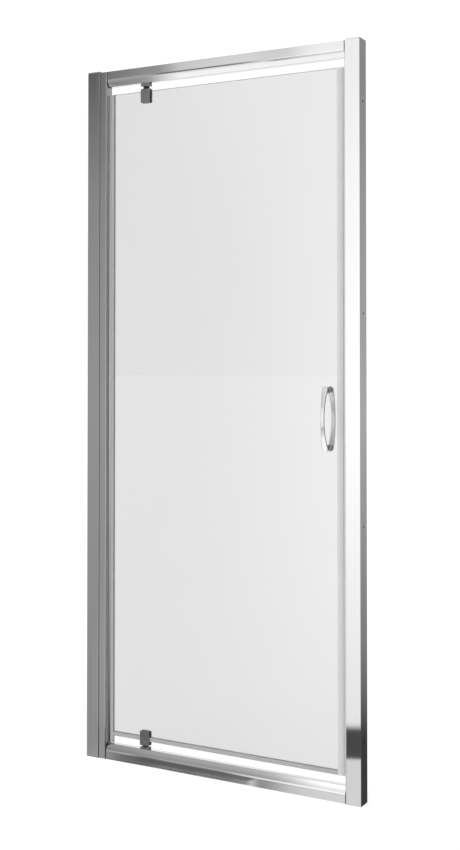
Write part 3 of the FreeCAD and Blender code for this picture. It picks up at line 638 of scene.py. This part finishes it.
def swell_nose(shape, corner_z, back_z):
    """Push the flat of a rail's nose outward. The heights are in millimetres."""
    start = Vector((0.0, NOSE_BACK, back_z)) * MM
    run = Vector((0.0, RAIL_FRONT, corner_z)) * MM - start
    outward = Vector((0.0, run.z, -run.y)).normalized()
    if outward.y > 0:
        outward.negate()

    def share_of(vertex):
        """How far along the nose a vertex lies, from 0 at its back to 1 at its corner."""
        return (vertex.co - start).dot(run) / run.length_squared

    def on_nose(vertex):
        return abs((vertex.co - start).dot(outward)) < NEAR and -0.001 < share_of(vertex) < 1.001

    for cut in NOSE_CUTS:
        faces = [face for face in shape.faces if all(on_nose(vertex) for vertex in face.verts)]
        around = [item for face in faces for item in (*face.verts, *face.edges)]
        geom = list(dict.fromkeys(around)) + faces
        bmesh.ops.bisect_plane(shape, geom=geom, plane_co=start + run * cut, plane_no=run)
    moved = [vertex for vertex in shape.verts if on_nose(vertex)]
    for vertex in moved:
        share = share_of(vertex)
        vertex.co += outward * (4.0 * share * (1.0 - share) * NOSE_BULGE * MM)
    print(len(moved), "points of the nose moved")


for name, corner_z, back_z in (("header_rail", 1821.0, 1807.0), ("sill_rail", 26.0, 40.0)):
    shape = copy_of(name)
    swell_nose(shape, corner_z, back_z)
    finish_piece("soft_" + name, shape, "frame", [name])

# %% [markdown]
# ## Clamps and pivot blocks
#
# These are zinc castings, chromed after their edges were tumbled round. The construction gives them
# plain chamfers, so both edges of each chamfer are rounded, which leaves a full soft edge. The caps
# on the channels are moulded, and their edges are smaller.

# %% The castings
PIVOT_X = -224.0
HOLE_REACH = 11.8 * MM
LONGEST_RIM_EDGE = 6.0 * MM
CAST_SEGMENTS = 3


def off_axis(edge):
    """A test that leaves out the rims of the holes, whose edges are short and near the pivot."""
    middle = (edge.verts[0].co + edge.verts[1].co) / 2
    return abs(middle.x - PIVOT_X * MM) > HOLE_REACH or edge.calc_length() > LONGEST_RIM_EDGE


for name, body, radius in (
    ("clamp_body_top", "door_leaf", 0.45),
    ("clamp_body_bottom", "door_leaf", 0.45),
    ("clamp_plate_top", "door_leaf", 0.45),
    ("clamp_plate_bottom", "door_leaf", 0.45),
    ("pivot_block_top", "frame", 0.35),
    ("pivot_block_bottom", "frame", 0.35),
    ("channel_cap_left", "frame", 0.3),
    ("channel_cap_right", "frame", 0.3),
):
    soften(name, copy_of(name), body, off_axis, radius, CAST_SEGMENTS)

# %% [markdown]
# ## The handle
#
# Two chromed bows stand back to back on short posts, one on each side of the glass. Seen from the
# side a bow is an arc, and seen from the front it is a slim bar with round ends and a waist. A lofted
# tube could not keep those round ends, so the bow starts as a flat bar with round ends, is cut into
# short lengths so that it can bend, gets its soft edges, and is then bent to its arc.

# %% The bow
HANDLE_X = 306.0
HANDLE_Z = 923.5
BOW_LENGTH = 160.0
BOW_RADIUS = 170.0
BOW_FRONT = 35.5
BOW_THICKNESS = 4.5
BOW_EDGE = 1.7
BOW_EDGE_SEGMENTS = 5
BOW_CUTS = 36
BOW_RIM_ANGLE = 1.0
END_WIDTH = 15.0
WAIST_WIDTH = 10.5
ROUND_SEGMENTS = 48


def points_in(geometry):
    """The vertices in what a bmesh operator gives back."""
    return [item for item in geometry if isinstance(item, bmesh.types.BMVert)]


def handle_bow(side):
    """One bow, on the side of the glass given by the sign of Y."""
    bow = bmesh.new()
    radius = END_WIDTH / 2 * MM
    ring = bmesh.ops.create_circle(bow, cap_ends=True, segments=ROUND_SEGMENTS, radius=radius)["verts"]
    reach = (BOW_LENGTH - END_WIDTH) / 2 * MM
    for vertex in ring:
        vertex.co.y += reach if vertex.co.y > 0 else -reach
    raised = points_in(bmesh.ops.extrude_face_region(bow, geom=bow.faces[:])["geom"])
    bmesh.ops.translate(bow, verts=raised, vec=(0.0, 0.0, BOW_THICKNESS * MM))
    bmesh.ops.recalc_face_normals(bow, faces=bow.faces)
    for step in range(1, BOW_CUTS):
        height = reach * (2 * step / BOW_CUTS - 1)
        everything = bow.verts[:] + bow.edges[:] + bow.faces[:]
        bmesh.ops.bisect_plane(bow, geom=everything, plane_co=(0, height, 0), plane_no=(0, 1, 0))
    for vertex in bow.verts:
        share = min(1.0, abs(vertex.co.y) / reach)
        width = WAIST_WIDTH + (END_WIDTH - WAIST_WIDTH) * share * share
        vertex.co.x *= width / END_WIDTH
    rim = [edge for edge in bow.edges if edge.calc_face_angle_signed(0.0) > BOW_RIM_ANGLE]
    bmesh.ops.bevel(
        bow, geom=rim, offset=BOW_EDGE * MM, offset_type="OFFSET", segments=BOW_EDGE_SEGMENTS,
        profile=0.5, affect="EDGES", material=-1,
    )
    for vertex in bow.verts:
        radius = BOW_RADIUS * MM - vertex.co.z
        height = vertex.co.y
        depth = (BOW_RADIUS - BOW_FRONT) * MM - math.sqrt(radius * radius - height * height)
        vertex.co = (HANDLE_X * MM + vertex.co.x, depth, HANDLE_Z * MM + height)
    if side > 0:
        bmesh.ops.scale(bow, verts=bow.verts, vec=(1.0, -1.0, 1.0))
    bmesh.ops.recalc_face_normals(bow, faces=bow.faces)
    return bow


for name, side in (("handle_bow_front", -1), ("handle_bow_back", 1)):
    finish_piece("round_" + name, handle_bow(side), "door_leaf", [name])

# %% [markdown]
# The posts are turned, so one half-outline spun about the post's own axis gives each of them: a foot
# with a soft edge on its washer, a waist, and a neck that runs into the bow. The neck is first made
# too long, and then its end is pulled back to just inside the bow's inner curve.

# %% The posts
POST_FOOT = 4.0
POST_PITCH = 141.0
POST_BITE = 0.9
SPIN_MERGE = 0.001 * MM


def spun(points, centre, side, segments):
    """A turned piece: points are pairs of radius and distance from the glass, in millimetres."""
    shape = bmesh.new()
    x, z = centre
    line = [shape.verts.new(((x + radius) * MM, side * away * MM, z * MM)) for radius, away in points]
    edges = [shape.edges.new(pair) for pair in zip(line, line[1:])]
    bmesh.ops.spin(
        shape, geom=line + edges, cent=(x * MM, 0.0, z * MM), axis=(0.0, 1.0, 0.0),
        angle=2 * math.pi, steps=segments, use_merge=True,
    )
    bmesh.ops.remove_doubles(shape, verts=shape.verts, dist=SPIN_MERGE)
    bmesh.ops.recalc_face_normals(shape, faces=shape.faces)
    return shape


def joined(shapes):
    """Several meshes as one."""
    whole = bmesh.new()
    for shape in shapes:
        mesh = bpy.data.meshes.new("part")
        shape.to_mesh(mesh)
        shape.free()
        whole.from_mesh(mesh)
        bpy.data.meshes.remove(mesh)
    return whole


def lifted(outline, height):
    """An outline of pairs of radius and height, raised above the glass."""
    return [(radius, height + above) for radius, above in outline]


def cut_to_bow(post):
    """Pull what reaches too far back to just inside the bow's inner curve."""
    for vertex in post.verts:
        height = vertex.co.z / MM - HANDLE_Z
        inner = math.sqrt((BOW_RADIUS - BOW_THICKNESS) ** 2 - height ** 2) - (BOW_RADIUS - BOW_FRONT)
        reach = (inner + POST_BITE) * MM
        vertex.co.y = max(-reach, min(reach, vertex.co.y))
    return post


post_line = lifted([
    (0.0, 5.1), (3.1, 5.1), (3.1, 0.0), (6.1, 0.0), (6.4, 0.12), (6.5, 0.4), (6.5, 1.2),
    (6.3, 2.2), (6.05, 4.0), (6.0, 6.0), (6.1, 7.4), (6.4, 15.0), (0.0, 15.0),
], POST_FOOT)
posts = []
for side in (-1, 1):
    for end in (-1, 1):
        place = (HANDLE_X, HANDLE_Z + end * POST_PITCH / 2)
        posts.append(cut_to_bow(spun(post_line, place, side, ROUND_SEGMENTS)))
finish_piece("turned_posts", joined(posts), "door_leaf", ["handle_posts"])

# %% [markdown]
# ## Screws and snap caps
#
# Each jamb is locked by three screws on the shower side, hidden by snap caps with a low dome. The caps
# are round, so they are spun in the same way.

# %% The snap caps
CAP_SEAT = 20.0
CAP_SEGMENTS = 40
CAP_PLACES = [(x, z) for x in (-370.0, 385.5) for z in (200.0, 923.5, 1647.0)]

cap_line = lifted([
    (5.0, 0.0), (5.8, 0.0), (6.0, 0.25), (6.0, 1.9), (5.75, 2.75), (5.1, 3.35), (3.9, 3.75),
    (2.0, 3.95), (0.0, 4.0),
], CAP_SEAT)
caps = [spun(cap_line, place, 1, CAP_SEGMENTS) for place in CAP_PLACES]
finish_piece("domed_lock_caps", joined(caps), "frame", ["lock_screw_caps"])

# %% [markdown]
# A clamp screw is a countersunk head with a six-sided socket. A hexagon could be cut out of a turned
# head, but that leaves slivers on its flat. So the socket starts as the round middle of the head,
# whose points are drawn in to a hexagon and then pushed down.

# %% A countersunk screw with a six-sided socket
SOCKET_SINK = 0.85
HEAD_BORDER = 0.1


def hexagon_reach(angle, radius):
    """The distance from the middle of a hexagon to its side, in a direction."""
    half_side = math.radians(30.0)
    return radius * math.cos(half_side) / math.cos(angle % (2 * half_side) - half_side)


def countersunk_screw(head, head_height, shank, length, across_flats, place, turn):
    """Sizes in millimetres. The head lies at the place, and the shank runs along the turned -Z."""
    screw = bmesh.new()
    head_radius = head / 2 * MM
    socket_radius = across_flats / math.sqrt(3) * MM
    bmesh.ops.create_circle(screw, cap_ends=True, segments=ROUND_SEGMENTS, radius=head_radius)
    rim = screw.edges[:]
    border = head_radius - socket_radius
    bmesh.ops.inset_region(screw, faces=screw.faces[:], thickness=border, use_even_offset=True)
    for vertex in screw.verts:
        if vertex.co.length < head_radius - HEAD_BORDER * MM:
            angle = math.atan2(vertex.co.y, vertex.co.x)
            vertex.co = vertex.co.normalized() * hexagon_reach(angle, socket_radius)
    middle_face = min(screw.faces, key=lambda item: item.calc_center_median().length)
    sunk = points_in(bmesh.ops.extrude_face_region(screw, geom=[middle_face])["geom"])
    bmesh.ops.translate(screw, verts=sunk, vec=(0.0, 0.0, -SOCKET_SINK * head_height * MM))
    bmesh.ops.delete(screw, geom=[middle_face], context="FACES_ONLY")
    for drop in (head_height, length - head_height):
        grown = bmesh.ops.extrude_edge_only(screw, edges=rim)["geom"]
        ring = points_in(grown)
        rim = [item for item in grown if isinstance(item, bmesh.types.BMEdge)]
        shrink = shank / 2 * MM / ring[0].co.xy.length
        bmesh.ops.scale(screw, verts=ring, vec=(shrink, shrink, 1.0))
        bmesh.ops.translate(screw, verts=ring, vec=(0.0, 0.0, -drop * MM))
    bmesh.ops.contextual_create(screw, geom=rim)
    bmesh.ops.recalc_face_normals(screw, faces=screw.faces)
    placed = Matrix.Translation(Vector(place) * MM) @ turn
    bmesh.ops.transform(screw, matrix=placed, verts=screw.verts)
    return screw


CLAMP_BOLT_Z = (75.0, 1769.75)
CLAMP_PLATE_FACE = 6.75
TOWARD_GLASS = Matrix.Rotation(math.radians(-90.0), 4, "X")
clamp_screw = {"head": 8.6, "head_height": 2.2, "shank": 5.0, "length": 9.5, "across_flats": 3.0}
screws = []
for z in CLAMP_BOLT_Z:
    place = (PIVOT_X, CLAMP_PLATE_FACE, z)
    screws.append(countersunk_screw(**clamp_screw, place=place, turn=TOWARD_GLASS))
finish_piece("socket_clamp_screws", joined(screws), "door_leaf", ["clamp_screws"])

# %% [markdown]
# The pivot blocks are held by smaller screws of the same kind. Two go up into the header and two go
# down into the sill, on either side of the pivot.

# %% The screws of the pivot blocks
BLOCK_SCREWS_AT = ((-232.8, 4.2), (-215.2, -4.2))
TOP_BLOCK_FACE = 1798.0
BOTTOM_BLOCK_FACE = 46.0
UPWARD = Matrix.Rotation(math.radians(180.0), 4, "X")
DOWNWARD = Matrix.Identity(4)
block_screw = {"head": 5.4, "head_height": 1.7, "shank": 3.5, "across_flats": 2.0}
screws = []
for x, y in BLOCK_SCREWS_AT:
    for z, turn, length in ((TOP_BLOCK_FACE, UPWARD, 11.5), (BOTTOM_BLOCK_FACE, DOWNWARD, 8.5)):
        screws.append(countersunk_screw(**block_screw, length=length, place=(x, y, z), turn=turn))
finish_piece("socket_block_screws", joined(screws), "frame", ["pivot_block_screws"])
